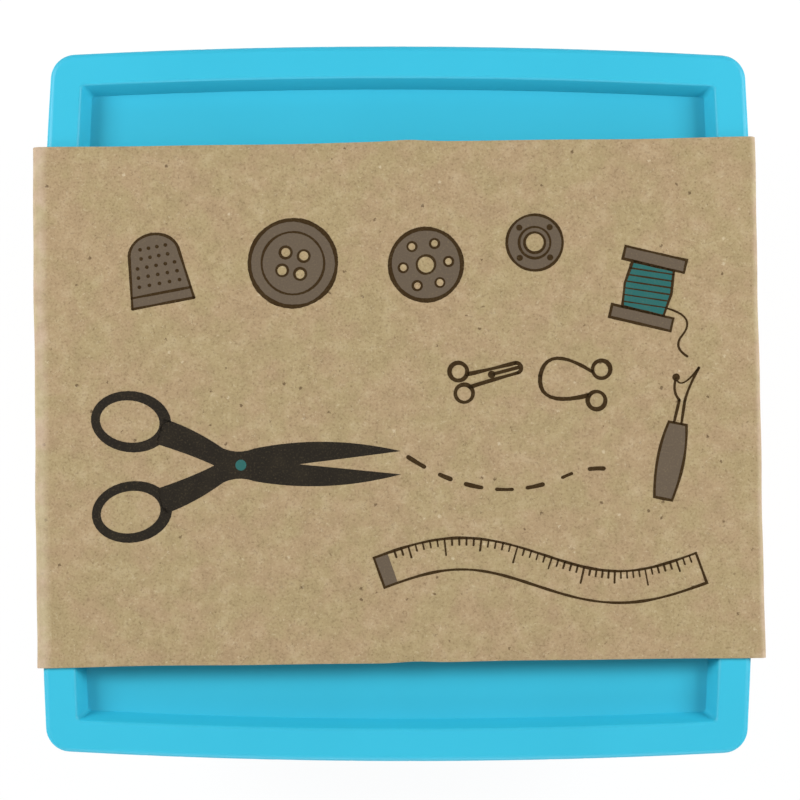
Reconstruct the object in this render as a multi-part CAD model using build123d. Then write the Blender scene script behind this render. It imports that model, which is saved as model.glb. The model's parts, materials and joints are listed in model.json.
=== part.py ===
from build123d import *
import os
from math import atan2, cos, degrees, floor, radians, sqrt, tan

# A square magnetic pin dish wrapped in a kraft board sleeve.
# Lengths are millimetres and angles are degrees. +Z is up, +X right and +Y away from the user.
# The origin is the middle of the sleeve's underside, which is what the wrapped dish stands on.

# Tray, outside
rim_width = 105.0  # across the middles of two opposite sides
body_height = 23.5  # from the foot of the skirt to the rim
skirt_angle = 31.5  # how far the skirt leans in below the rim, from upright
side_radius = 895.6  # the slight bulge of every side, seen from above
rim_corner_radius = 3.4
base_corner_radius = 5.0
rim_rounding = 0.75
skirt_rounding = 0.6

# Tray, recess for the pins
rim_flat_width = 4.64
recess_depth = 3.0
recess_draft_run = 1.4  # how far the recess wall leans in, from its top to its foot
recess_corner_radius = 0.6
recess_edge_rounding = 0.5
well_radius = 34.0
well_depth = 1.6

# Tray, inside
floor_thickness = 2.0
skirt_wall = 2.0
cavity_corner_radius = 3.0
collar_wall = 1.6
collar_depth = 6.0
centre_boss_radius = 5.0
cover_boss_radius = 3.6
rib_thickness = 1.4
rib_depth = 5.0

# Magnet and what holds it
collar_side_space = 6.3  # between the collar round the magnet and the foot of the skirt
magnet_bore_share = 0.43  # of the magnet's own radius
pad_thickness = 0.8
plate_thickness = 1.5
plate_edge_rounding = 0.3
magnet_edge_chamfer = 0.5
washer_radius = 6.0
washer_thickness = 0.8
magnet_screw_radius = 1.75
magnet_screw_pitch = 1.4
magnet_screw_drop = 1.1  # from the magnet's seat down to the point of its screw

# Base cover, its screws and the feet
cover_thickness = 2.0
cover_pad_height = 2.0  # thickening above each foot pocket
cover_pad_wall = 1.2
cover_pad_inset = 1.7  # from a side of the cover to the nearest of the pads
cover_corner_radius = 2.6
cover_screw_radius = 1.5
cover_screw_pitch = 1.2
cover_screw_drop = 4.1  # from the underside of the floor down to the point of each screw
screw_head_sink = 0.2  # how far a cover screw's head lies inside the foot pocket's ceiling
foot_radius = 6.0
foot_stand = 1.5  # how far a foot stands proud of the cover
foot_pocket_depth = 1.0
foot_rounding = 0.5

# Sleeve
board_thickness = 0.4
sleeve_length = 76.3  # along Y
sleeve_skew = 0.95  # the sleeve sits slightly turned on the dish, counter-clockwise from above
crease_radius = 0.7  # inner face of the board
seam_width = 15.0
seam_step_run = 4.0
seam_step_radius = 2.5
glue_thickness = 0.1
glue_inset = 1.0

# Clearances
sleeve_side_gap = 0.2  # beside the middle of a side, before the skew takes some of it
sleeve_top_gap = 0.1
magnet_gap = 0.3
cover_gap = 0.25
boss_gap = 0.3
under_magnet_gap = 1.4  # between the head of the magnet's screw and the cover
screw_gap = 0.05
screw_hole_gap = 0.25
head_gap = 0.3
foot_gap = 0.1
seam_gap = 0.3
cut_overrun = 1.0

# Proportions of a pan head screw, as shares of its thread radius
head_radius_share = 1.9
head_height_share = 1.1
head_rounding_share = 0.35
core_radius_share = 0.72
point_length_share = 1.2
recess_length_share = 2.0
recess_width_share = 0.4
recess_depth_share = 0.6

# Levels, from the sleeve's underside up
cover_bottom_z = board_thickness + foot_stand
cover_top_z = cover_bottom_z + cover_thickness
pad_top_z = cover_top_z + cover_pad_height
pocket_z = cover_bottom_z + foot_pocket_depth
rim_z = cover_bottom_z + body_height
floor_z = rim_z - recess_depth
floor_under_z = floor_z - floor_thickness
seat_z = floor_under_z - well_depth
magnet_top_z = seat_z - pad_thickness
washer_bottom_z = cover_top_z + under_magnet_gap + head_height_share * magnet_screw_radius
plate_bottom_z = washer_bottom_z + washer_thickness
magnet_bottom_z = plate_bottom_z + plate_thickness
magnet_screw_length = seat_z - magnet_screw_drop - washer_bottom_z
cover_bearing_z = pocket_z + screw_head_sink + head_height_share * cover_screw_radius
cover_screw_length = floor_under_z - cover_screw_drop - cover_bearing_z

# Widths that follow
rim_half = rim_width / 2
skirt_lean = tan(radians(skirt_angle))
skirt_level = 1 / cos(radians(skirt_angle))  # a thickness in the slanting skirt, measured level
rim_edge_angle = radians(90 - skirt_angle)
rim_edge_half = rim_half + rim_rounding * (1 / tan(rim_edge_angle / 2) - 1)  # before rounding
base_half = rim_edge_half - skirt_lean * body_height
opening_half = base_half - skirt_wall * skirt_level
collar_radius = opening_half - collar_side_space
magnet_radius = collar_radius - collar_wall - magnet_gap
magnet_bore_radius = magnet_bore_share * magnet_radius
pocket_radius = foot_radius + foot_gap
cover_pad_radius = pocket_radius + cover_pad_wall
cover_screw_reach = opening_half - cover_gap - cover_pad_inset - cover_pad_radius
cover_screw_places = [
    (right * cover_screw_reach, back * cover_screw_reach)
    for right, back in ((1, 1), (-1, 1), (-1, -1), (1, -1))
]


def bulged_square(half_width, corner_radius):
    """A square with slightly bulging sides and rounded corners. half_width is at mid side."""
    inset = side_radius - half_width
    reach = (sqrt(2 * side_radius ** 2 - inset ** 2) - inset) / 2
    corners = [(reach, reach), (-reach, reach), (-reach, -reach), (reach, -reach)]
    middles = [(0, half_width), (-half_width, 0), (0, -half_width), (half_width, 0)]
    sides = [
        ThreePointArc(start, middle, end)
        for start, middle, end in zip(corners, middles, corners[1:] + corners[:1])
    ]
    outline = make_face(Curve() + sides)
    return fillet(outline.vertices(), corner_radius)


def bulged_frustum(low_z, low_half, low_corner, high_z, high_half, high_corner):
    """A block whose outline changes evenly from one bulged square to another."""
    low = Pos(0, 0, low_z) * bulged_square(low_half, low_corner)
    high = Pos(0, 0, high_z) * bulged_square(high_half, high_corner)
    return loft([low, high], ruled=True)


def upright_cylinder(radius, low_z, high_z):
    """A cylinder on the Z axis between two levels."""
    cylinder = Cylinder(radius, high_z - low_z, align=(Align.CENTER, Align.CENTER, Align.MIN))
    return Pos(0, 0, low_z) * cylinder


def screw(radius, length, pitch):
    """A pan head screw, point up, with the bearing face of its head at z = 0."""
    head_radius = head_radius_share * radius
    head_height = head_height_share * radius
    rounding = head_rounding_share * radius
    core_radius = core_radius_share * radius
    thread_top = length - point_length_share * radius
    turns = floor(thread_top / pitch)

    profile = [(0, 0), (core_radius, 0)]
    for turn in range(turns):
        ridge = thread_top - (turns - turn) * pitch
        profile += [(core_radius, ridge), (radius, ridge + pitch / 2)]
    profile += [(core_radius, thread_top), (0, length)]
    shank = revolve(Plane.XZ * make_face(Polyline(*profile, close=True)), Axis.Z)

    head = upright_cylinder(head_radius, -head_height, 0)
    head = fillet(head.edges().sort_by(Axis.Z)[0], rounding)
    for turned in (0, 90):
        slot = Box(
            recess_length_share * radius,
            recess_width_share * radius,
            2 * recess_depth_share * radius,
        )
        head -= Pos(0, 0, -head_height) * Rot(0, 0, turned) * slot
    return head + shank


def well():
    """The round dished hollow in the middle of the tray's floor, as the solid to cut away."""
    sphere_radius = (well_radius ** 2 + well_depth ** 2) / (2 * well_depth)
    bottom = (0, floor_z - well_depth)
    edge = (well_radius, floor_z)
    dish = RadiusArc(bottom, edge, -sphere_radius)
    above = [edge, (well_radius, floor_z + cut_overrun), (0, floor_z + cut_overrun), bottom]
    return revolve(Plane.XZ * make_face(Curve() + [dish, Polyline(*above)]), Axis.Z)


def rounded_body():
    """The outside of the tray as one block, with its top and bottom edges rounded."""
    body = bulged_frustum(
        cover_bottom_z, base_half, base_corner_radius, rim_z, rim_edge_half, rim_corner_radius
    )
    levels = body.faces().sort_by(Axis.Z)
    body = fillet(levels[-1].edges(), rim_rounding)
    return fillet(body.faces().sort_by(Axis.Z)[0].edges(), skirt_rounding)


def recess():
    """The space for the pins, from the floor up through the rim."""
    top_half = rim_half - rim_flat_width
    foot_half = top_half - recess_draft_run
    draft = recess_draft_run / recess_depth
    over_half = top_half + draft * cut_overrun
    over_z = rim_z + cut_overrun
    return bulged_frustum(
        floor_z, foot_half, recess_corner_radius, over_z, over_half, recess_corner_radius
    )


def cavity():
    """The hollow under the floor, inside the skirt."""
    top_half = opening_half + skirt_lean * (floor_under_z - cover_bottom_z)
    bottom_half = opening_half - skirt_lean * cut_overrun
    bottom_z = cover_bottom_z - cut_overrun
    return bulged_frustum(
        bottom_z, bottom_half, cavity_corner_radius, floor_under_z, top_half, cavity_corner_radius
    )


def magnet_holder():
    """The seat, the collar and the middle boss that the magnet goes on, under the floor."""
    seat = upright_cylinder(collar_radius, seat_z, floor_z)
    collar = upright_cylinder(collar_radius, seat_z - collar_depth, floor_z)
    collar -= upright_cylinder(magnet_radius + magnet_gap, seat_z - collar_depth, seat_z)
    boss = upright_cylinder(centre_boss_radius, magnet_bottom_z + boss_gap, floor_z)
    return seat + collar + boss


def cover_boss(place):
    """A post for one cover screw, with the rib that ties it to the collar."""
    post = Pos(*place) * upright_cylinder(cover_boss_radius, pad_top_z, floor_z)
    x, y = place
    rib_start = collar_radius - collar_wall / 2
    rib_length = sqrt(x ** 2 + y ** 2) - rib_start
    rib = Box(rib_length, rib_thickness, rib_depth)
    rib = Pos(rib_start + rib_length / 2, 0, floor_under_z - rib_depth / 2) * rib
    return post + Rot(0, 0, degrees(atan2(y, x))) * rib


def tray():
    """The moulded dish: rim, recess, slanting skirt, and the posts under its floor."""
    body = rounded_body() - cavity() + magnet_holder()
    for place in cover_screw_places:
        body += cover_boss(place)
    body -= recess()
    rim = body.faces().filter_by(Axis.Z).sort_by(Axis.Z)[-1]
    body = fillet(rim.inner_wires()[0].edges(), recess_edge_rounding)
    body -= well()
    body -= upright_cylinder(
        magnet_screw_radius + screw_gap, magnet_bottom_z, washer_bottom_z + magnet_screw_length
    )
    cover_screw_top_z = cover_bearing_z + cover_screw_length + boss_gap
    bore = upright_cylinder(cover_screw_radius + screw_gap, pad_top_z, cover_screw_top_z)
    for place in cover_screw_places:
        body -= Pos(*place) * bore
    return body


def base_cover():
    """The plate that closes the skirt, with a pocket for each foot and its screw above it."""
    outline = bulged_square(opening_half - cover_gap, cover_corner_radius)
    cover = Pos(0, 0, cover_bottom_z) * extrude(outline, cover_thickness)
    pad = upright_cylinder(cover_pad_radius, cover_bottom_z, pad_top_z)
    pocket = upright_cylinder(pocket_radius, cover_bottom_z - cut_overrun, pocket_z)
    head_radius = head_radius_share * cover_screw_radius
    counterbore = upright_cylinder(head_radius + head_gap, cover_bottom_z, cover_bearing_z)
    hole = upright_cylinder(
        cover_screw_radius + screw_hole_gap, cover_bottom_z, pad_top_z + cut_overrun
    )
    for place in cover_screw_places:
        cover += Pos(*place) * pad
    for place in cover_screw_places:
        cover -= Pos(*place) * (pocket + counterbore + hole)
    return cover


def foot():
    """A round rubber foot, pushed into its pocket in the base cover."""
    disc = upright_cylinder(foot_radius, board_thickness, pocket_z)
    return fillet(disc.edges().sort_by(Axis.Z)[0], foot_rounding)


def cover_screw():
    """The screw above a foot, on the Z axis."""
    fastener = screw(cover_screw_radius, cover_screw_length, cover_screw_pitch)
    return Pos(0, 0, cover_bearing_z) * fastener


def magnet_ring():
    """The ferrite ring magnet, lightly chamfered as it comes from the press."""
    ring = upright_cylinder(magnet_radius, magnet_bottom_z, magnet_top_z)
    ring = chamfer(ring.edges().filter_by(GeomType.CIRCLE), magnet_edge_chamfer)
    return ring - upright_cylinder(magnet_bore_radius, magnet_bottom_z, magnet_top_z)


def magnet_pad():
    """The foam ring that keeps the magnet from rattling against the floor."""
    pad = upright_cylinder(magnet_radius - magnet_edge_chamfer, magnet_top_z, seat_z)
    return pad - upright_cylinder(magnet_bore_radius, magnet_top_z, seat_z)


def back_plate():
    """The steel disc that backs the magnet and carries it on its screw."""
    plate = upright_cylinder(magnet_radius, plate_bottom_z, magnet_bottom_z)
    plate = fillet(plate.edges().filter_by(GeomType.CIRCLE), plate_edge_rounding)
    hole = upright_cylinder(magnet_screw_radius + screw_hole_gap, plate_bottom_z, magnet_bottom_z)
    return plate - hole


def magnet_washer():
    """The washer under the head of the magnet's screw."""
    washer = upright_cylinder(washer_radius, washer_bottom_z, plate_bottom_z)
    hole = upright_cylinder(magnet_screw_radius + screw_hole_gap, washer_bottom_z, plate_bottom_z)
    return washer - hole


def magnet_screw():
    """The screw that holds the magnet up against the floor."""
    fastener = screw(magnet_screw_radius, magnet_screw_length, magnet_screw_pitch)
    return Pos(0, 0, washer_bottom_z) * fastener


def sleeve_side(z):
    """How far out the middle of the board's thickness lies in the slanting sides, at a level."""
    half_board = board_thickness / 2 * skirt_level
    return rim_edge_half + sleeve_side_gap + half_board + skirt_lean * (z - rim_z)


def sleeve():
    """The kraft board band: one strip folded round the dish, its ends lapped underneath."""
    under_z = board_thickness / 2
    over_z = rim_z + sleeve_top_gap + board_thickness / 2
    lap_z = under_z + board_thickness + glue_thickness
    lap_half = seam_width / 2
    step_top = lap_half + seam_gap
    middle_line = [
        (lap_half, under_z),
        (-sleeve_side(under_z), under_z),
        (-sleeve_side(over_z), over_z),
        (sleeve_side(over_z), over_z),
        (sleeve_side(under_z), under_z),
        (step_top + seam_step_run, under_z),
        (step_top, lap_z),
        (-lap_half, lap_z),
    ]
    radii = [crease_radius + board_thickness / 2] * 4 + [seam_step_radius] * 2
    section = trace(FilletPolyline(*middle_line, radius=radii), board_thickness)
    band = extrude(Plane.XZ * section, sleeve_length / 2, both=True)
    return Rot(0, 0, sleeve_skew) * band


def sleeve_glue():
    """The line of glue between the lapped ends of the sleeve."""
    width = seam_width - 2 * glue_inset
    length = sleeve_length - 2 * glue_inset
    line = Box(width, length, glue_thickness, align=(Align.CENTER, Align.CENTER, Align.MIN))
    return Rot(0, 0, sleeve_skew) * Pos(0, 0, board_thickness) * line


def pieces():
    """Every separate piece of the product, by name."""
    made = {
        "tray": tray(),
        "base_cover": base_cover(),
        "magnet_pad": magnet_pad(),
        "magnet_ring": magnet_ring(),
        "back_plate": back_plate(),
        "magnet_washer": magnet_washer(),
        "magnet_screw": magnet_screw(),
        "sleeve": sleeve(),
        "sleeve_glue": sleeve_glue(),
    }
    for number, place in enumerate(cover_screw_places, start=1):
        made[f"cover_screw_{number}"] = Pos(*place) * cover_screw()
        made[f"foot_{number}"] = Pos(*place) * foot()
    return made


os.makedirs("parts", exist_ok=True)
for name, shape in pieces().items():
    export_step(shape, f"parts/{name}.step")
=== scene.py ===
import json
import math

import bmesh
import bpy
from mathutils import Euler, Matrix, Vector
from mathutils.geometry import tessellate_polygon


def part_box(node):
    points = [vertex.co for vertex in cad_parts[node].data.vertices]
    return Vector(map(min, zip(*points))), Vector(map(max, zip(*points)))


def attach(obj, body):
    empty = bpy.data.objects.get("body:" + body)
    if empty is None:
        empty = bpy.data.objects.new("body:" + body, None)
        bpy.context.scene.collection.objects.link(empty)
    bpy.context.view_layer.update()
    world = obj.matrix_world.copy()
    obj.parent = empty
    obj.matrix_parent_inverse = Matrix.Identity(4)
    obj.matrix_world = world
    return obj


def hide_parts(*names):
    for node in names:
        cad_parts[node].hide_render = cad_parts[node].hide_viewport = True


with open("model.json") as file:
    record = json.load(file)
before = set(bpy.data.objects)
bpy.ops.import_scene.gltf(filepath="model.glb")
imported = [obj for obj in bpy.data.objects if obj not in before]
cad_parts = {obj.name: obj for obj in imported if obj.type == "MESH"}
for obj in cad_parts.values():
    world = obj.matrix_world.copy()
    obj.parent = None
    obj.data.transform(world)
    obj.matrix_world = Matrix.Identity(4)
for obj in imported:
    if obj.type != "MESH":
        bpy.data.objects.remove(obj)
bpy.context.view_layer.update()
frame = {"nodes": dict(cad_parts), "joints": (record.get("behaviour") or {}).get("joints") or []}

# A square magnetic pin dish in a printed kraft board sleeve, seen from above.
# Lengths are in metres, so a size in millimetres is a number times MM. Angles are written in
# degrees, and the few in radians say so.
MM = 0.001

# What the frame says
tray_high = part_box("tray")[1]
rim_z = tray_high.z
rim_half = tray_high.x
sleeve_low, sleeve_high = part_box("sleeve")
slide_axis = frame["joints"][0]["axis"]
sleeve_skew = math.atan2(-slide_axis[0], slide_axis[1])

# Camera, fitted to the rim's corners and the sleeve's edges
frame_px = 800
focal_px = 3071
sensor_width = 36  # Blender's own unit for a sensor
camera_near = 10 * MM
camera_distance = 450 * MM
camera_aim = Vector((0.40 * MM, 0.22 * MM, rim_z))
camera_tilt_x = math.radians(2.82)
camera_tilt_y = math.radians(0.24)
camera_roll = math.radians(0.10)

# Lamps and room. A way is where a lamp stands, seen from the dish
lamp_distance = 480 * MM
lamp_size = 190 * MM
lamp_power = 1.78
lamp_way_right = (1.55, 0.42, 1.0)
lamp_way_left = (-1.55, 0.42, 1.0)
fill_distance = 700 * MM
fill_size = 500 * MM
fill_power = 3.0
fill_way = (0, -1, 0.25)
room_strength = 0.25
WHITE = (1, 1, 1, 1)

# Floor
floor_half = 2.0
floor_drop = 0.05 * MM
floor_shade = 0.8
floor_shadow_share = 0.06
floor_lit_share = 0.9  # what the lamps make of a white floor

# Sleeve, as in the frame
board = 0.4 * MM
crease_radius = 0.7 * MM  # inner face of the board
sleeve_length = 76.3 * MM
skirt_angle = math.radians(31.5)
seam_width = 15 * MM
seam_gap = 0.3 * MM
seam_step_run = 4 * MM
seam_step_radius = 2.5 * MM
glue = 0.1 * MM
sleeve_grid = 1.2 * MM
arc_step = math.radians(9)

# The sleeve's box is wider than the sleeve by what its skew adds
turned_width = sleeve_high.x - sleeve_low.x - sleeve_length * math.sin(sleeve_skew)
outer_half = turned_width / math.cos(sleeve_skew) / 2
fold_share = 1 / math.tan((math.pi / 2 - skirt_angle) / 2) - 1
sleeve_half = outer_half - board / 2 + (crease_radius + board / 2) * fold_share

# Sleeve, what a real cut and folded board adds, and a painted highlight along the folds
panel_bow = 0.16 * MM
panel_bow_half = 50 * MM
ripple_share = 0.25
ripple_across = 17 * MM
ripple_along = 23 * MM
edge_wave = 0.06 * MM
edge_wave_slow = 9 * MM
edge_wave_quick = 4.1 * MM
edge_quick_share = 0.6
fold_wave = 0.045 * MM
fold_wave_slow = 5.3 * MM
fold_wave_quick = 2.3 * MM
fold_quick_share = 0.7
fold_wave_width = 8 * MM
edge_nick = 0.22 * MM
nick_place = 2.2 * MM
nick_width = 3.0 * MM
edge_rounding = 0.07 * MM
edge_profile = [(0.0, 0.45), (0.4, 0.8), (1.0, 1.0)]  # way in and thickness, as shares
# Pale bands along the folds: rubbed, stretched board, together with a painted highlight that
# stands in for the lit rounding of the fold
rub_and_highlight_left = (1.1 * MM, 2.4 * MM)  # how far in it is full, and where it ends
rub_and_highlight_right = (0.4 * MM, 1.0 * MM)
cut_wear = 0.7
sharp_angle = math.radians(40)

# Print
ink_lift = 0.012 * MM
ink_sink = 0.03 * MM
bold_line = 0.56 * MM
fine_line = 0.38 * MM
thin_line = 0.34 * MM
thread_line = 0.3 * MM
tick_line = 0.26 * MM
hair_line = 0.22 * MM
print_step = 1.0 * MM
side_bow = 0.01 * MM
press_slow = (0.15, 1.9 * MM, 1.3 * MM)  # share of the width, and wave length each way
press_quick = (0.08, 0.6 * MM, 0.8 * MM)
cap_steps = 6
mitre_limit = 0.5
stitch_length = 2.9 * MM
stitch_gap = 1.7 * MM

# Colours, as linear values
PLASTIC = (0.0255, 0.463, 0.650)
KRAFT = (0.388, 0.299, 0.158)
KRAFT_ROSY = (0.402, 0.290, 0.166)
KRAFT_DARK = (0.110, 0.068, 0.034)
KRAFT_PALE = (0.700, 0.600, 0.420)
# Pale rubbed board, at the cut edges and along the folds; along the folds it is also a painted
# highlight
RUB_AND_HIGHLIGHT = (0.560, 0.475, 0.305)
RUB_AND_HIGHLIGHT_ROSY = (0.590, 0.450, 0.340)
INK = (0.018, 0.0145, 0.0105)
LINE_INK = (0.037, 0.020, 0.006)
TINT = (0.122, 0.092, 0.064)
TEAL = (0.024, 0.124, 0.116)
ZINC = (0.62, 0.63, 0.65)
SCREW_ZINC = (0.52, 0.52, 0.54)
RUBBER = (0.016, 0.016, 0.017)
RUBBER_DUSTY = (0.045, 0.044, 0.042)
FERRITE = (0.018, 0.018, 0.020)
FERRITE_GROUND = (0.045, 0.045, 0.048)
FOAM = (0.012, 0.012, 0.013)
FOAM_PALE = (0.050, 0.050, 0.052)
GLUE = (0.62, 0.50, 0.30)
GLUE_PALE = (0.74, 0.64, 0.44)


def link(obj):
    bpy.context.scene.collection.objects.link(obj)
    return obj


class Nodes:
    """A material's node tree, with short calls for the nodes that this script uses."""

    def __init__(self, name):
        self.material = bpy.data.materials.new(name)
        self.material.use_nodes = True
        self.tree = self.material.node_tree
        self.shader = self.tree.nodes["Principled BSDF"]
        self.coords = self.tree.nodes.new("ShaderNodeTexCoord").outputs["Object"]

    def join(self, source, target):
        self.tree.links.new(source, target)

    def add(self, kind, inputs=None, **settings):
        node = self.tree.nodes.new(kind)
        for key, value in settings.items():
            setattr(node, key, value)
        for key, value in (inputs or {}).items():
            if isinstance(value, bpy.types.NodeSocket):
                self.join(value, node.inputs[key])
            else:
                node.inputs[key].default_value = value
        return node

    def stretched(self, size, turn=(0, 0, 0), shift=(0, 0, 0)):
        """Object coordinates turned, then divided by a grain size: one, or one for each axis."""
        sizes = size if isinstance(size, tuple) else (size,) * 3
        turned = self.add("ShaderNodeVectorRotate", {"Vector": self.coords, "Rotation": turn},
                          rotation_type="EULER_XYZ")
        scale = tuple(1 / length for length in sizes)
        scaled = self.add("ShaderNodeMapping", {"Vector": turned.outputs[0], "Scale": scale,
                                                "Location": shift})
        return scaled.outputs[0]

    def noise(self, size, detail=2.0, roughness=0.5, turn=(0, 0, 0), shift=(0, 0, 0)):
        """Noise from 0 to 1 whose grain is size long."""
        return self.add("ShaderNodeTexNoise", {"Vector": self.stretched(size, turn, shift),
                                               "Scale": 1.0, "Detail": detail,
                                               "Roughness": roughness}).outputs["Fac"]

    def wobble(self, reach, size):
        """Shifts the places that later textures use, so that their outlines come out uneven."""
        shake = self.add("ShaderNodeTexNoise", {"Vector": self.stretched(size), "Scale": 1.0,
                                                "Detail": 2.0}).outputs["Color"]
        centred = self.add("ShaderNodeVectorMath", {0: shake, 1: (0.5, 0.5, 0.5)},
                           operation="SUBTRACT").outputs[0]
        shift = self.add("ShaderNodeVectorMath", {0: centred, "Scale": 4 * reach},
                         operation="SCALE").outputs[0]
        self.coords = self.add("ShaderNodeVectorMath", {0: self.coords, 1: shift},
                               operation="ADD").outputs[0]

    def specks(self, size, radius, pale_share, dark_share, turn=(0, 0, 0), shift=(0, 0, 0)):
        """Scattered specks, pale ones and dark ones: such shares of cells size long hold one."""
        cells = self.add("ShaderNodeTexVoronoi", {"Vector": self.stretched(size, turn, shift),
                                                  "Scale": 1.0})
        chance = self.add("ShaderNodeSeparateColor", {0: cells.outputs["Color"]}).outputs[0]
        spot = self.ramp(cells.outputs["Distance"], radius * 0.45, radius, 1.0, 0.0)
        pale = self.math("MULTIPLY", spot, self.math("LESS_THAN", chance, pale_share))
        dark = self.math("MULTIPLY", spot, self.math("GREATER_THAN", chance, 1 - dark_share))
        return pale, dark

    def ramp(self, value, low, high, to_low=0.0, to_high=1.0):
        """value from low to high, mapped smoothly from to_low to to_high."""
        return self.add("ShaderNodeMapRange", {"Value": value, "From Min": low, "From Max": high,
                                               "To Min": to_low, "To Max": to_high},
                        interpolation_type="SMOOTHSTEP").outputs["Result"]

    def math(self, operation, first, second):
        return self.add("ShaderNodeMath", {0: first, 1: second}, operation=operation).outputs[0]

    def mix(self, share, first, second):
        """Colour first, with second mixed in by share."""
        node = self.add("ShaderNodeMix", {0: share}, data_type="RGBA")
        for socket, colour in ((node.inputs[6], first), (node.inputs[7], second)):
            if isinstance(colour, bpy.types.NodeSocket):
                self.join(colour, socket)
            else:
                socket.default_value = (*colour, 1.0)
        return node.outputs[2]

    def bump(self, height, distance, below=None):
        """A bump of that height in metres, on top of another one."""
        inputs = {"Height": height, "Distance": distance}
        if below is not None:
            inputs["Normal"] = below
        return self.add("ShaderNodeBump", inputs).outputs["Normal"]

    def finish(self, **sockets):
        """Sets the shader's own sockets by name, with _ for a space."""
        for key, value in sockets.items():
            socket = self.shader.inputs[key.replace("_", " ")]
            if isinstance(value, bpy.types.NodeSocket):
                self.join(value, socket)
            elif key == "Base_Color":
                socket.default_value = (*value, 1.0)
            else:
                socket.default_value = value
        return self.material


def moulded_plastic(name, colour, roughness):
    """Moulded plastic: even colour, a fine satin grain, faint rubs and a little glow inside."""
    n = Nodes(name)
    clouds = n.noise(22 * MM, detail=3)
    shade = n.mix(n.ramp(clouds, 0.3, 0.7), tuple(c * 0.97 for c in colour), colour)
    slant = 0.5  # radians
    rubs = n.noise((14 * MM, 0.25 * MM, 0.25 * MM), detail=3, turn=(0, 0, slant))
    rubs = n.ramp(rubs, 0.66, 0.80)
    grain = n.noise(0.35 * MM, detail=3)
    wave = n.noise(5 * MM, detail=1)
    rough = n.math("ADD", n.ramp(clouds, 0.2, 0.8, roughness - 0.04, roughness + 0.04),
                   n.math("MULTIPLY", rubs, 0.10))
    normal = n.bump(wave, 0.010 * MM)
    normal = n.bump(grain, 0.0022 * MM, below=normal)
    return n.finish(Base_Color=shade, Roughness=rough, Normal=normal, Specular_IOR_Level=0.45,
                    Subsurface_Weight=0.12, Subsurface_Radius=(0.4, 1.0, 1.0),
                    Subsurface_Scale=0.7 * MM)


def kraft_board(name):
    """Unbleached kraft board: cloudy brown with dark specks, pale flecks and short fibres."""
    n = Nodes(name)
    hue = n.noise(5.5 * MM, detail=3, roughness=0.6, shift=(2.2, 8.1, 0.0))
    hue = n.ramp(hue, 0.35, 0.65)
    colour = n.mix(hue, KRAFT, KRAFT_ROSY)
    clouds = n.noise(2.4 * MM, detail=4, roughness=0.65)
    colour = n.mix(n.ramp(clouds, 0.40, 0.75, 0.0, 0.15), colour, KRAFT_DARK)
    colour = n.mix(n.ramp(clouds, 0.28, 0.50, 0.13, 0.0), colour, KRAFT_PALE)
    grain = n.noise(0.34 * MM, detail=3, roughness=0.62)
    colour = n.mix(n.ramp(grain, 0.48, 0.78, 0.0, 0.46), colour, KRAFT_DARK)
    colour = n.mix(n.ramp(grain, 0.22, 0.46, 0.24, 0.0), colour, KRAFT_PALE)
    n.wobble(0.16 * MM, 0.26 * MM)
    height = grain
    # Cell size, radius, share of pale ones and of dark ones, turn, strength of pale and of dark
    marks = [
        (2.2 * MM, 0.145, 0.12, 0.26, 0, 0.42, 0.80),
        (0.9 * MM, 0.20, 0.16, 0.22, 0, 0.26, 0.42),
    ]
    for angle in (15, 75, 140):
        marks.append(((2.6 * MM, 0.40 * MM, 0.40 * MM), 0.25, 0.12, 0.07, angle, 0.24, 0.34))
    for size, radius, pale_share, dark_share, angle, pale_strength, dark_strength in marks:
        pale, dark = n.specks(size, radius, pale_share, dark_share, (0, 0, math.radians(angle)),
                              (5.3, 0.079 * angle, 0.0))
        colour = n.mix(n.math("MULTIPLY", pale, pale_strength), colour, KRAFT_PALE)
        colour = n.mix(n.math("MULTIPLY", dark, dark_strength), colour, KRAFT_DARK)
        height = n.math("ADD", height, n.math("MULTIPLY", pale, 0.3))
    # Paler where the board is rubbed: at the cut edges, and along the folds, where the pale band
    # is also a painted highlight
    rub_and_highlight = n.add("ShaderNodeAttribute", attribute_name="rub_and_highlight").outputs["Fac"]
    rub_and_highlight = n.math("MULTIPLY", rub_and_highlight, n.ramp(clouds, 0.30, 0.70, 0.72, 0.42))
    colour = n.mix(rub_and_highlight, colour, n.mix(hue, RUB_AND_HIGHLIGHT, RUB_AND_HIGHLIGHT_ROSY))
    normal = n.bump(height, 0.016 * MM)
    return n.finish(Base_Color=colour, Roughness=0.9, Normal=normal, Specular_IOR_Level=0.15)


def printed_ink(name, colour, cover):
    """Flexo ink on kraft: the board's speckle shows through it a little."""
    n = Nodes(name)
    speckle = n.noise(0.28 * MM, detail=3, roughness=0.6)
    clouds = n.noise(3 * MM, detail=2)
    through = n.math("ADD", n.ramp(speckle, 0.50, 0.78, 0.0, 1 - cover),
                     n.ramp(clouds, 0.4, 0.8, 0.0, 0.02))
    shade = n.mix(through, colour, tuple(c * 0.8 for c in KRAFT))
    normal = n.bump(speckle, 0.012 * MM)
    return n.finish(Base_Color=shade, Roughness=0.8, Normal=normal, Specular_IOR_Level=0.08)


def rubber(name):
    """Black rubber with a dull, dusty skin."""
    n = Nodes(name)
    dust = n.noise(2 * MM, detail=4)
    shade = n.mix(n.ramp(dust, 0.45, 0.8), RUBBER, RUBBER_DUSTY)
    grain = n.noise(0.25 * MM, detail=3)
    return n.finish(Base_Color=shade, Roughness=n.ramp(dust, 0.2, 0.8, 0.68, 0.86),
                    Normal=n.bump(grain, 0.010 * MM), Specular_IOR_Level=0.35)


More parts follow.
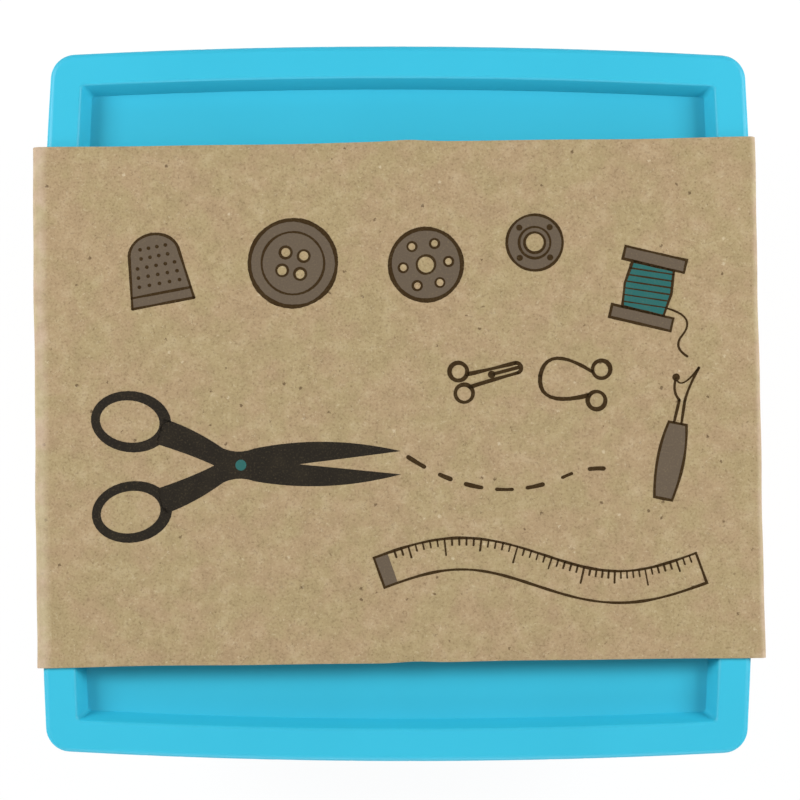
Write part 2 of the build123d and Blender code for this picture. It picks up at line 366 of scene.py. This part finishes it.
def plated_steel(name, colour, roughness):
    """Zinc-plated steel with rolling marks."""
    n = Nodes(name)
    marks = n.noise((9 * MM, 0.12 * MM, 0.12 * MM), detail=3)
    spots = n.noise(1.5 * MM, detail=3)
    shade = n.mix(n.ramp(spots, 0.35, 0.75), tuple(c * 0.9 for c in colour), colour)
    rough = n.ramp(marks, 0.25, 0.75, roughness - 0.07, roughness + 0.07)
    return n.finish(Base_Color=shade, Metallic=1.0, Roughness=rough,
                    Normal=n.bump(marks, 0.003 * MM))


def ferrite(name):
    """Pressed and ground ferrite: dark grey, with fine pits."""
    n = Nodes(name)
    pits = n.noise(0.4 * MM, detail=4, roughness=0.65)
    shade = n.mix(n.ramp(pits, 0.4, 0.7), FERRITE, FERRITE_GROUND)
    return n.finish(Base_Color=shade, Roughness=n.ramp(pits, 0.3, 0.7, 0.45, 0.65),
                    Normal=n.bump(pits, 0.03 * MM))


def foam(name):
    """Black closed-cell foam."""
    n = Nodes(name)
    cells = n.add("ShaderNodeTexVoronoi", {"Vector": n.stretched(0.5 * MM), "Scale": 1.0})
    cells = cells.outputs["Distance"]
    shade = n.mix(n.ramp(cells, 0.1, 0.7), FOAM, FOAM_PALE)
    return n.finish(Base_Color=shade, Roughness=0.92, Normal=n.bump(cells, 0.08 * MM))


def hot_melt(name):
    """Cloudy amber glue."""
    n = Nodes(name)
    clouds = n.noise(3 * MM, detail=2)
    shade = n.mix(n.ramp(clouds, 0.3, 0.7), GLUE, GLUE_PALE)
    return n.finish(Base_Color=shade, Roughness=0.4, Normal=n.bump(clouds, 0.02 * MM))


def dress(node, material):
    """Gives a CAD node one material."""
    mesh = frame["nodes"][node].data
    mesh.materials.clear()
    mesh.materials.append(material)


def make_mesh(name, bm, material, body):
    """A finished piece from a bmesh, smooth apart from its sharp edges."""
    bmesh.ops.recalc_face_normals(bm, faces=bm.faces)
    mesh = bpy.data.meshes.new(name)
    bm.to_mesh(mesh)
    bm.free()
    mesh.polygons.foreach_set("use_smooth", [True] * len(mesh.polygons))
    mesh.set_sharp_from_angle(angle=sharp_angle)
    mesh.materials.append(material)
    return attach(link(bpy.data.objects.new(name, mesh)), body)


def folded_line(corners, radii, step):
    """Places along straight runs joined by arcs, each as (place, outward direction, in an arc)."""
    starts, ends, arcs = [], [], []
    for index, radius in enumerate(radii, start=1):
        before = (corners[index] - corners[index - 1]).normalized()
        after = (corners[index + 1] - corners[index]).normalized()
        turn = math.atan2(before.cross(after), before.dot(after))
        reach = radius * math.tan(abs(turn) / 2)
        arcs.append((turn, radius))
        starts.append(corners[index] - reach * before)
        ends.append(corners[index] + reach * after)
    line = []
    runs = zip([corners[0]] + ends, starts + [corners[-1]])
    for index, (run_start, run_end) in enumerate(runs):
        along = (run_end - run_start).normalized()
        out = Vector((-along.y, along.x))
        count = max(1, round((run_end - run_start).length / step))
        line += [(run_start.lerp(run_end, i / count), out, False) for i in range(count + 1)]
        if index == len(arcs):
            break
        turn, radius = arcs[index]
        side = 1 if turn < 0 else -1
        centre = run_end - side * radius * out
        count = math.ceil(abs(turn) / arc_step)
        for i in range(1, count):
            swung = out.copy()
            swung.rotate(Matrix.Rotation(turn * i / count, 2))
            line.append((centre + side * radius * swung, swung, True))
    return line


def sleeve_side(z):
    """How far out the middle of the board lies in the sleeve's slanting sides, at a level."""
    lean = math.tan(skirt_angle)
    top = sleeve_high.z - board / 2
    return sleeve_half + lean * (z - top)


def cut_edge(u, v_sign):
    """How far a cut edge of the sleeve wanders from straight, at u across it."""
    wander = math.sin(u / edge_wave_slow + v_sign)
    wander += edge_quick_share * math.sin(u / edge_wave_quick + 2 * v_sign)
    nick = math.exp(-((u - nick_place) / nick_width) ** 2)
    return edge_wave * wander + edge_nick * nick


def panel_lift(u, v):
    """How far the sleeve's top panel bows up from flat."""
    across = max(0.0, 1 - (u / panel_bow_half) ** 2)
    ripple = math.sin(u / ripple_across + 0.7) * math.sin(v / ripple_along + 0.4)
    return panel_bow * across * (1 + ripple_share * ripple)


def fold_rub_and_highlight(u):
    """How far the board is made pale: rubbed board with a painted highlight for the lit rounding
    of the fold, in a wide band by the left fold and a thin one by the right.
    """
    full, none = rub_and_highlight_left if u < 0 else rub_and_highlight_right
    inward = outer_half - abs(u)
    share = min(1.0, max(0.0, (none - inward) / (none - full)))
    return share * share * (3 - 2 * share)


def fold_wander(u, v):
    """How far a folded side of the sleeve strays outwards, at v along it."""
    side = math.copysign(1, u)
    stray = math.sin(v / fold_wave_slow + 2 * side)
    stray += fold_quick_share * math.sin(v / fold_wave_quick - side)
    return side * fold_wave * stray if abs(u) > rim_half - fold_wave_width else 0.0


def sleeve_frame():
    """The turn from the sleeve's own directions to the dish's."""
    return Matrix.Rotation(sleeve_skew, 4, "Z")


def on_board(u, v, lift):
    """A place above the sleeve's top face, in the dish's directions."""
    return sleeve_frame() @ Vector((u, v, sleeve_high.z + panel_lift(u, v) + lift))


def kraft_sleeve(material):
    """The board band: one strip folded round the dish, its ends lapped and glued underneath."""
    under_z = sleeve_low.z + board / 2
    over_z = sleeve_high.z - board / 2
    lap_z = under_z + board + glue
    lap_half = seam_width / 2
    step_top = lap_half + seam_gap
    corners = [
        (lap_half, under_z),
        (-sleeve_side(under_z), under_z),
        (-sleeve_side(over_z), over_z),
        (sleeve_side(over_z), over_z),
        (sleeve_side(under_z), under_z),
        (step_top + seam_step_run, under_z),
        (step_top, lap_z),
        (-lap_half, lap_z),
    ]
    radii = [crease_radius + board / 2] * 4 + [seam_step_radius] * 2
    line = folded_line([Vector(corner) for corner in corners], radii, sleeve_grid)

    count = round(sleeve_length / sleeve_grid)
    stations = [(-1, edge_rounding * inward, fullness) for inward, fullness in edge_profile]
    stations += [(0, i / count, 1.0) for i in range(1, count)]
    stations += [(1, edge_rounding * inward, fullness) for inward, fullness in edge_profile[::-1]]

    bm = bmesh.new()
    rub_and_highlight = bm.verts.layers.float.new("rub_and_highlight")
    turn = sleeve_frame()
    sheets = {1: [], -1: []}
    for place, out, folded in line:
        on_top = place.y > over_z - board
        low_v = -sleeve_length / 2 + cut_edge(place.x, -1)
        high_v = sleeve_length / 2 + cut_edge(place.x, 1)
        for side, sheet in sheets.items():
            row = []
            for end, offset, fullness in stations:
                if end == 0:
                    v = low_v + offset * (high_v - low_v)
                else:
                    v = (high_v if end > 0 else low_v) - end * offset
                spot = place + side * fullness * board / 2 * out
                lift = panel_lift(place.x, v) if on_top and not folded else 0.0
                x = spot.x + fold_wander(spot.x, v)
                vert = bm.verts.new(turn @ Vector((x, v, spot.y + lift)))
                # Rubbed cut edges, and the fold bands, which are rubbed board and a painted
                # highlight
                vert[rub_and_highlight] = max(fold_rub_and_highlight(place.x), cut_wear if fullness < 1 else 0.0)
                row.append(vert)
            sheet.append(row)
    for side, sheet in sheets.items():
        for row, following in zip(sheet, sheet[1:]):
            for i in range(len(row) - 1):
                bm.faces.new((row[i], row[i + 1], following[i + 1], following[i]))
    outer, inner = sheets[1], sheets[-1]
    for i in range(len(line) - 1):
        for end in (0, -1):
            bm.faces.new((outer[i][end], outer[i + 1][end], inner[i + 1][end], inner[i][end]))
    for end in (0, -1):
        for i in range(len(stations) - 1):
            bm.faces.new((outer[end][i], outer[end][i + 1], inner[end][i + 1], inner[end][i]))
    piece = make_mesh("kraft_sleeve", bm, material, "sleeve")
    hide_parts("sleeve")


class Print:
    """Flat ink shapes in one colour, in the sleeve's own directions, laid on its top face."""

    def __init__(self, name, lift):
        self.name = name
        self.lift = lift
        self.bm = bmesh.new()

    def add(self, points, faces):
        """A closed film of ink over flat faces, which all turn the same way."""
        top = [self.bm.verts.new(on_board(p.x, p.y, self.lift)) for p in points]
        bottom = [self.bm.verts.new(on_board(p.x, p.y, -ink_sink)) for p in points]
        faces = [face if turns_left(points, face) else face[::-1] for face in faces]
        edges = {(a, b) for face in faces for a, b in zip(face, face[1:] + face[:1])}
        for face in faces:
            self.bm.faces.new([top[i] for i in face])
            self.bm.faces.new([bottom[i] for i in reversed(face)])
        for a, b in edges:
            if (b, a) not in edges:
                self.bm.faces.new((top[b], top[a], bottom[a], bottom[b]))

    def fill(self, *loops):
        """An area inside the first outline and outside the others."""
        points = [point for loop in loops for point in loop]
        flat = [[Vector((p.x, p.y, 0)) for p in loop] for loop in loops]
        self.add(points, [list(face) for face in tessellate_polygon(flat)])

    def stroke(self, points, width, closed=False):
        """A line of even width along points, with round ends."""
        points = spaced(points, closed)
        count = len(points)
        ways = [(b - a).normalized() for a, b in zip(points, points[1:] + points[:1])]
        if not closed:
            ways[-1] = ways[-2]
        sides = []
        for i, ahead in enumerate(ways):
            behind = ways[i - 1] if closed or i else ahead
            bisector = (ahead + behind).normalized()
            across = Vector((-bisector.y, bisector.x))
            press = pen_press(points[i])
            sides.append(across * press * width / 2 / max(mitre_limit, bisector.dot(ahead)))
        outline = [p + side for p, side in zip(points, sides)]
        outline += [p - side for p, side in zip(points, sides)]
        faces = []
        for i in range(count if closed else count - 1):
            j = (i + 1) % count
            faces.append([i, count + i, count + j, j])
        if not closed:
            for i, way in ((0, 1), (count - 1, -1)):
                arm = sides[i] * way
                cap = []
                for k in range(1, cap_steps):
                    swung = arm.copy()
                    swung.rotate(Matrix.Rotation(math.pi * k / cap_steps, 2))
                    cap.append(len(outline))
                    outline.append(points[i] + swung)
                first, last = (i, count + i) if way > 0 else (count + i, i)
                faces.append([first, *cap, last])
        self.add(outline, faces)

    def finish(self, material):
        make_mesh(self.name, self.bm, material, "sleeve")


def pen_press(place):
    """How broad a drawn line comes out at a place, as a share of its even width."""
    slow_share, slow_x, slow_y = press_slow
    quick_share, quick_x, quick_y = press_quick
    slow = math.sin(place.x / slow_x + place.y / slow_y)
    quick = math.sin(place.x / quick_x - place.y / quick_y)
    return 1 + slow_share * slow + quick_share * quick


def turns_left(points, face):
    """Whether a face's outline runs anticlockwise."""
    around = zip(face, face[1:] + face[:1])
    return sum(points[a].cross(points[b]) for a, b in around) > 0


def spaced(points, closed=False):
    """The same line with places added so that none are further apart than print_step.

    The sides of a closed one bow by a hair, so that no three places are in line.
    """
    bow = side_bow if closed else 0.0
    line = []
    following = points[1:] + (points[:1] if closed else [])
    for start, end in zip(points, following):
        way = end - start
        across = Vector((-way.y, way.x)).normalized()
        count = math.ceil(way.length / print_step - 0.001)
        for i in range(count):
            share = i / count
            line.append(start + share * way + 4 * bow * share * (1 - share) * across)
    return line if closed else line + [points[-1]]


class Motif:
    """Draws in a motif's own millimetres, turned and moved to its place on the sleeve."""

    def __init__(self, u, v, turn=0.0):
        self.shift = Vector((u, v)) * MM
        self.turn = Matrix.Rotation(math.radians(turn), 2)

    def place(self, points):
        placed = []
        for point in points:
            moved = Vector(point) * MM
            moved.rotate(self.turn)
            placed.append(moved + self.shift)
        return placed

    def line(self, points, width=fine_line, closed=False):
        line_ink.stroke(self.place(points), width, closed)

    def area(self, *loops, ink=None):
        (ink or tint_ink).fill(*[spaced(self.place(loop), True) for loop in loops])


def arc(x, y, radius, start=0, end=360, squash=1.0):
    """Places round a circle or a squashed one. A full circle doesn't repeat its start."""
    sweep = end - start
    count = max(10, math.ceil(abs(sweep) / 10))
    last = count if abs(sweep) == 360 else count + 1
    return [
        (x + radius * math.cos(math.radians(start + sweep * i / count)),
         y + radius * squash * math.sin(math.radians(start + sweep * i / count)))
        for i in range(last)
    ]


def curve(start, bend, end, count=10):
    """Places along a smooth bow from start to end, pulled towards bend."""
    places = []
    for i in range(count + 1):
        t = i / count
        a, b, c = (1 - t) ** 2, 2 * t * (1 - t), t ** 2
        places.append((a * start[0] + b * bend[0] + c * end[0],
                       a * start[1] + b * bend[1] + c * end[1]))
    return places


def mirrored(points, side):
    """The same points for side 1, and their mirror image below the x axis for side -1."""
    return [(x, y * side) for x, y in points]


def ring_places(radius, first_angle, angle_step):
    """Evenly spaced centres on a circle, for a ring of holes or dots."""
    angles = [math.radians(first_angle + turn) for turn in range(0, 360, angle_step)]
    return [(radius * math.cos(angle), radius * math.sin(angle)) for angle in angles]


def scissors():
    """Solid dark embroidery scissors, a little open, with a teal pivot."""
    motif = Motif(-23, -9)
    upper = curve((-11.3, 7.0), (-7.0, 5.6), (-2.6, 2.5))
    upper += curve((-2.6, 2.5), (-0.4, 1.5), (2.0, 2.4), 5)[1:]
    upper += curve((2.0, 2.4), (12.5, 4.4), (23.4, 1.7), 12)[1:]
    between = curve((-12.4, -3.3), (-7.4, -1.7), (-3.9, 0))
    between += curve((-3.9, 0), (-7.4, 1.7), (-12.4, 3.3))[1:]
    lower = mirrored(upper[::-1], -1)
    pivot = arc(0, 0, 0.8)
    motif.area(upper + [(8.5, 0)] + lower + between, pivot, ink=dark_ink)
    motif.area(pivot, ink=teal_ink)
    for side in (1, -1):
        ring = Motif(-39, -9 + 6.6 * side, -8 * side)
        ring.area(arc(0, 0, 5.9, squash=0.76), arc(-0.2, 0, 4.4, squash=0.70), ink=dark_ink)


def stitches():
    """A running stitch that wanders on from the scissors' points."""
    path = curve((1.5, -8.2), (13, -16), (24, -11.5), 30)
    path += curve((24, -11.5), (28, -9.6), (32, -10.6), 12)[1:]
    points = spaced([Vector(p) * MM for p in path])
    travelled = 0.0
    dash = []
    for start, end in zip(points, points[1:]):
        if travelled % (stitch_length + stitch_gap) < stitch_length:
            dash.append(start)
        elif len(dash) > 1:
            line_ink.stroke(dash, bold_line)
            dash = []
        travelled += (end - start).length


def button():
    motif = Motif(-15, 20.5, -12)
    edge = arc(0, 0, 6.4)
    holes = [arc(x, y, 0.85) for x in (-1.35, 1.35) for y in (-1.35, 1.35)]
    motif.area(edge, *holes)
    for hole in holes:
        motif.line(hole, thin_line, closed=True)
    motif.line(edge, bold_line, closed=True)
    motif.line(arc(0, 0, 4.6), thin_line, closed=True)


def thimble():
    motif = Motif(-35, 20, 10)
    half_foot, foot_y, half_crown, crown_y = 4.6, -5.2, 3.7, 2.0
    crown = arc(0, crown_y, half_crown, 180, 0, squash=0.85)
    outline = [(-half_foot, foot_y), *crown, (half_foot, foot_y)]
    motif.area(outline)
    motif.line(outline)
    lean = (half_foot - half_crown) / (crown_y - foot_y)
    for y in (foot_y, foot_y + 1.6):
        half = half_foot - (y - foot_y) * lean
        motif.line([(-half, y), (half, y)])
    for row in range(5):
        for column in range(5 - row // 3):
            x = (column - (4 - row // 3) / 2) * (1.5 - 0.06 * row)
            motif.area(arc(x, -2.2 + 1.35 * row, 0.27), ink=line_ink)


def spool():
    motif = Motif(37, 16, -14)
    for y in (-4.4, 4.4):
        flange = [(-4.6, y - 0.95), (4.6, y - 0.95), (4.6, y + 0.95), (-4.6, y + 0.95)]
        motif.area(flange)
        motif.line(flange, closed=True)
    thread = [(-3.1, -3.4), (3.1, -3.4), (3.5, 0), (3.1, 3.4), (-3.1, 3.4), (-3.5, 0)]
    motif.area(thread, ink=teal_ink)
    motif.line(thread, closed=True)
    for y in (-2.4, -1.4, -0.4, 0.6, 1.6, 2.6):
        motif.line([(-3.2, y - 0.25), (3.2, y + 0.25)], hair_line)
    tail = curve((3.3, -2.2), (8.0, -2.4), (6.4, -5.6))
    tail += curve((6.4, -5.6), (5.4, -7.6), (7.8, -8.4))[1:]
    motif.line(tail, thread_line)


def bobbin():
    motif = Motif(4.5, 20, -8)
    edge = arc(0, 0, 5.3)
    bore = arc(0, 0, 1.35)
    holes = [arc(x, y, 0.66) for x, y in ring_places(3.35, 15, 60)]
    motif.area(edge, bore, *holes)
    for hole in holes:
        motif.line(hole, thread_line, closed=True)
    motif.line(edge, bold_line, closed=True)
    motif.line(bore, closed=True)


def press_stud():
    motif = Motif(20.5, 23)
    edge = arc(0, 0, 4.1)
    bore = arc(0, 0, 1.5)
    motif.area(edge, bore)
    motif.line(edge, closed=True)
    motif.line(arc(0, 0, 2.3), thin_line, closed=True)
    motif.line(bore, closed=True)
    for x, y in ring_places(3.15, 45, 90):
        motif.area(arc(x, y, 0.45), ink=line_ink)


def hook_and_eye():
    hook = Motif(13, 3.5, 14)
    eye = Motif(26.5, 2.5, -10)
    for side in (1, -1):
        hook.line(mirrored(arc(-3.7, 1.65, 1.3), side), bold_line, closed=True)
        hook.line(mirrored(curve((-2.6, 0.95), (0, 0.8), (4.6, 0.75)), side), bold_line)
        eye.line(mirrored(arc(3.1, 2.3, 1.3), side), bold_line, closed=True)
        eye.line(mirrored(curve((1.95, 1.7), (-5.4, 4.9), (-5.6, 0)), side), bold_line)
    hook.line(arc(4.6, 0, 0.75, -90, 90), bold_line)
    hook.line([(4.9, 0), (0.9, 0)], bold_line)
    hook.area(arc(0.9, 0, 0.55), ink=line_ink)


def seam_ripper():
    motif = Motif(40.5, -6, 78)
    handle = curve((-9, 1.3), (-3, 2.5), (2.2, 1.3)) + curve((2.2, -1.3), (-3, -2.5), (-9, -1.3))
    motif.area(handle)
    motif.line(handle, closed=True)
    motif.line([(2.2, 0.55), (5.6, 0.4)])
    motif.line([(2.2, -0.55), (5.6, -0.4)])
    motif.line(curve((5.6, -0.4), (7.6, -0.5), (10.8, -1.5)))
    motif.line(curve((5.6, 0.4), (6.6, 1.7), (8.6, 1.5)))
    motif.line(curve((8.6, 1.5), (6.9, 0.4), (10.8, -1.5)), thread_line)
    motif.area(arc(8.8, 1.5, 0.55), ink=line_ink)


def tape_measure():
    """A strip of tape with plain ticks, in a long wave, with a metal tab on its end."""
    motif = Motif(0, 0)
    start_x, middle_y, length, sway, half_width = -3, -25, 47, 2.6, 2.3
    long_tick, middle_tick, short_tick = 2.4, 1.7, 1.0
    steps = 96
    tab_steps = 4
    centre = []
    for i in range(steps + 1):
        x = start_x + length * i / steps
        centre.append(Vector((x, middle_y + sway * math.sin(i / steps * 2 * math.pi))))
    edges = ([], [])
    for i, point in enumerate(centre):
        ahead = (centre[min(i + 1, steps)] - centre[max(i - 1, 0)]).normalized()
        across = Vector((-ahead.y, ahead.x))
        for edge, side in zip(edges, (1, -1)):
            edge.append(point + half_width * side * across)
        if i % 2 == 0 and tab_steps < i < steps:
            depth = long_tick if i % 20 == 0 else middle_tick if i % 10 == 0 else short_tick
            tick = [point + half_width * across, point + (half_width - depth) * across]
            motif.line(tick, tick_line)
    motif.line(edges[0] + edges[1][::-1], closed=True)
    tab = [edge[:tab_steps + 1] for edge in edges]
    motif.area(tab[0] + tab[1][::-1])


def place_camera():
    """The photograph's viewpoint: almost straight above, a little to the front."""
    data = bpy.data.cameras.new("camera")
    data.sensor_width = sensor_width
    data.lens = focal_px / frame_px * sensor_width
    data.clip_start = camera_near
    camera = link(bpy.data.objects.new("camera", data))
    camera.rotation_euler = Euler((camera_tilt_x, camera_tilt_y, camera_roll))
    back = camera.rotation_euler.to_matrix() @ Vector((0, 0, 1))
    camera.location = camera_aim + camera_distance * back
    bpy.context.scene.camera = camera


def place_lamp(name, way, distance, size, power):
    """A square soft lamp that looks at the dish."""
    data = bpy.data.lights.new(name, "AREA")
    data.shape = "SQUARE"
    data.size = size
    data.energy = power
    lamp = link(bpy.data.objects.new(name, data))
    away = Vector(way).normalized()
    lamp.location = Vector((0, 0, rim_z)) + distance * away
    lamp.rotation_euler = away.to_track_quat("Z", "Y").to_euler()


def light_studio():
    """A soft lamp on the left and on the right, a weak low one in front, and a pale room."""
    place_lamp("lamp_left", lamp_way_left, lamp_distance, lamp_size, lamp_power)
    place_lamp("lamp_right", lamp_way_right, lamp_distance, lamp_size, lamp_power)
    place_lamp("lamp_front", fill_way, fill_distance, fill_size, fill_power)
    world = bpy.data.worlds.new("room")
    bpy.context.scene.world = world
    world.use_nodes = True
    nodes, links = world.node_tree.nodes, world.node_tree.links
    nodes.clear()
    path = nodes.new("ShaderNodeLightPath")
    seen = nodes.new("ShaderNodeMath")
    seen.operation = "MAXIMUM"
    links.new(path.outputs["Is Camera Ray"], seen.inputs[0])
    through = nodes.new("ShaderNodeMath")
    through.operation = "MAXIMUM"
    links.new(path.outputs["Is Glossy Ray"], through.inputs[0])
    links.new(path.outputs["Is Transmission Ray"], through.inputs[1])
    links.new(through.outputs[0], seen.inputs[1])
    room = nodes.new("ShaderNodeBackground")
    room.inputs["Color"].default_value = WHITE
    room.inputs["Strength"].default_value = room_strength
    white = nodes.new("ShaderNodeBackground")
    white.inputs["Color"].default_value = WHITE
    white.inputs["Strength"].default_value = 1.0
    mix = nodes.new("ShaderNodeMixShader")
    links.new(seen.outputs[0], mix.inputs[0])
    links.new(room.outputs[0], mix.inputs[1])
    links.new(white.outputs[0], mix.inputs[2])
    output = nodes.new("ShaderNodeOutputWorld")
    links.new(mix.outputs[0], output.inputs["Surface"])


def lay_floor():
    """A pale floor that keeps a faint shadow and shows as white."""
    bm = bmesh.new()
    bmesh.ops.create_grid(bm, x_segments=1, y_segments=1, size=floor_half)
    mesh = bpy.data.meshes.new("floor")
    bm.to_mesh(mesh)
    bm.free()
    floor = link(bpy.data.objects.new("floor", mesh))
    material = bpy.data.materials.new("floor")
    material.use_nodes = True
    nodes, links = material.node_tree.nodes, material.node_tree.links
    nodes.clear()
    path = nodes.new("ShaderNodeLightPath")
    pale = nodes.new("ShaderNodeBsdfDiffuse")
    pale.inputs["Color"].default_value = (floor_shade,) * 3 + (1,)
    faint = nodes.new("ShaderNodeBsdfDiffuse")
    faint.inputs["Color"].default_value = (floor_shadow_share,) * 3 + (1,)
    glow = nodes.new("ShaderNodeEmission")
    glow.inputs["Strength"].default_value = 1 - floor_shadow_share * floor_lit_share
    seen = nodes.new("ShaderNodeAddShader")
    links.new(faint.outputs[0], seen.inputs[0])
    links.new(glow.outputs[0], seen.inputs[1])
    mix = nodes.new("ShaderNodeMixShader")
    links.new(path.outputs["Is Camera Ray"], mix.inputs[0])
    links.new(pale.outputs[0], mix.inputs[1])
    links.new(seen.outputs[0], mix.inputs[2])
    output = nodes.new("ShaderNodeOutputMaterial")
    links.new(mix.outputs[0], output.inputs["Surface"])
    mesh.materials.append(material)
    floor.location.z = -floor_drop


bpy.context.scene.view_settings.view_transform = "Standard"
place_camera()
light_studio()
lay_floor()

steel = plated_steel("plated_steel", ZINC, 0.34)
screw_steel = plated_steel("screw_steel", SCREW_ZINC, 0.38)
foot_rubber = rubber("foot_rubber")
dress("tray", moulded_plastic("tray_plastic", PLASTIC, 0.50))
dress("base_cover", moulded_plastic("cover_plastic", PLASTIC, 0.56))
dress("magnet_ring", ferrite("ferrite"))
dress("magnet_pad", foam("foam"))
dress("back_plate", steel)
dress("magnet_washer", steel)
dress("magnet_screw", screw_steel)
dress("sleeve_glue", hot_melt("hot_melt"))
for number in range(1, 5):
    dress(f"cover_screw_{number}", screw_steel)
    dress(f"foot_{number}", foot_rubber)

kraft_sleeve(kraft_board("kraft_board"))

# Where inks lie on each other, the later one here is a little higher
tint_ink = Print("print_tint", ink_lift)
teal_ink = Print("print_teal", ink_lift * 1.5)
dark_ink = Print("print_dark", ink_lift * 2)
line_ink = Print("print_lines", ink_lift * 2.5)
for draw in (scissors, stitches, button, thimble, spool, bobbin, press_stud, hook_and_eye,
             seam_ripper, tape_measure):
    draw()
tint_ink.finish(printed_ink("ink_tint", TINT, 0.80))
teal_ink.finish(printed_ink("ink_teal", TEAL, 0.90))
dark_ink.finish(printed_ink("ink_dark", INK, 0.88))
line_ink.finish(printed_ink("ink_lines", LINE_INK, 0.88))
